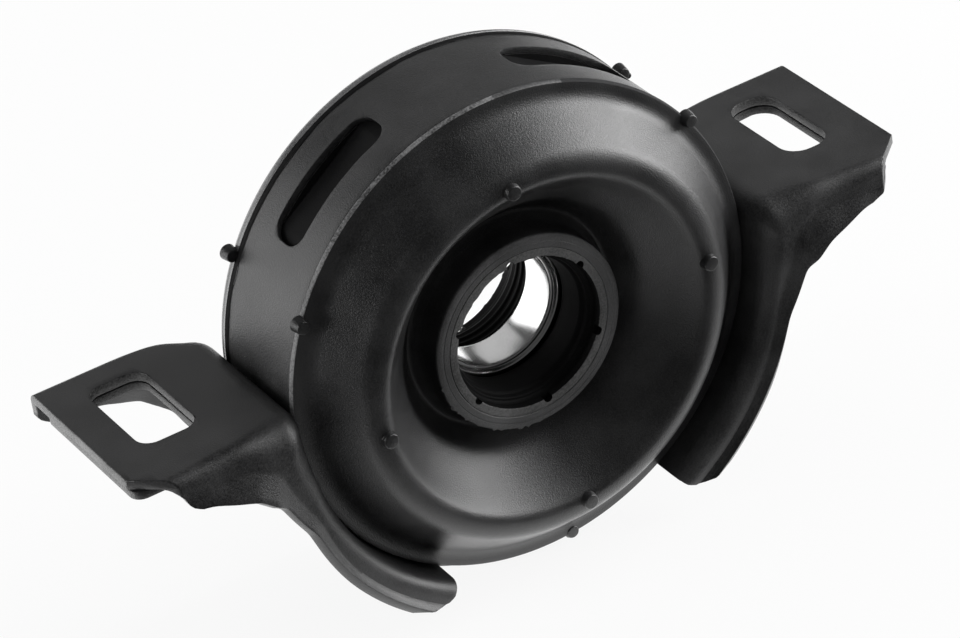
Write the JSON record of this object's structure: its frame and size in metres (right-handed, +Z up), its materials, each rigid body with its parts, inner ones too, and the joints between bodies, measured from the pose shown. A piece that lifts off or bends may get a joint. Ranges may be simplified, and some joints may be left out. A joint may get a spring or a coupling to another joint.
{
  "type": "drive_axle_support",
  "caption": "Black drive axle support: ball bearing in a rubber bellows cushion, held by a windowed steel ring in a pressed steel bracket with slotted ears",
  "frame": {"origin": "midway between the two ears on the plane of their flat top faces, straight above the middle of the bearing", "axes": "+Z up out of the ears' top faces, +X from ear to ear towards the ear with the narrower slot, +Y along the shaft from the bellows side to the open side"},
  "size_m": [0.2124, 0.0606, 0.127],
  "materials": {
    "black_paint": "satin",
    "dark_steel": "satin",
    "rubber": "matte",
    "bright_steel": "polished",
    "plain_steel": "machined"
  },
  "bodies": {
    "housing": {"bracket": "black_paint", "left_stiffener": "black_paint", "right_stiffener": "black_paint", "outer_ring": "dark_steel", "rubber_cushion": "rubber", "bearing_sleeve": "dark_steel", "dust_seal_front": "rubber", "dust_seal_rear": "rubber", "bearing_shield_front": "rubber", "bearing_shield_rear": "rubber", "bearing_outer_race": "plain_steel"},
    "inner_race": {"bearing_inner_race": "bright_steel"},
    "cage": {"cage_front": "plain_steel", "cage_rear": "plain_steel", "ball_1": "bright_steel", "ball_2": "bright_steel", "ball_3": "bright_steel", "ball_4": "bright_steel", "ball_5": "bright_steel", "ball_6": "bright_steel", "ball_7": "bright_steel", "ball_8": "bright_steel", "ball_9": "bright_steel", "ball_10": "bright_steel", "ball_11": "bright_steel"}
  },
  "joints": [
    {"name": "inner_race_spin", "type": "hinge", "parent": "housing", "child": "inner_race", "pos_m": [0, 0, -0.0084], "axis": [0, 1, 0], "continuous": true},
    {"name": "cage_spin", "type": "hinge", "parent": "housing", "child": "cage", "pos_m": [0, 0, -0.0084], "axis": [0, 1, 0], "continuous": true}
  ],
  "couplings": [
    {"joint": "cage_spin", "follows": "inner_race_spin", "ratio": 0.416}
  ]
}
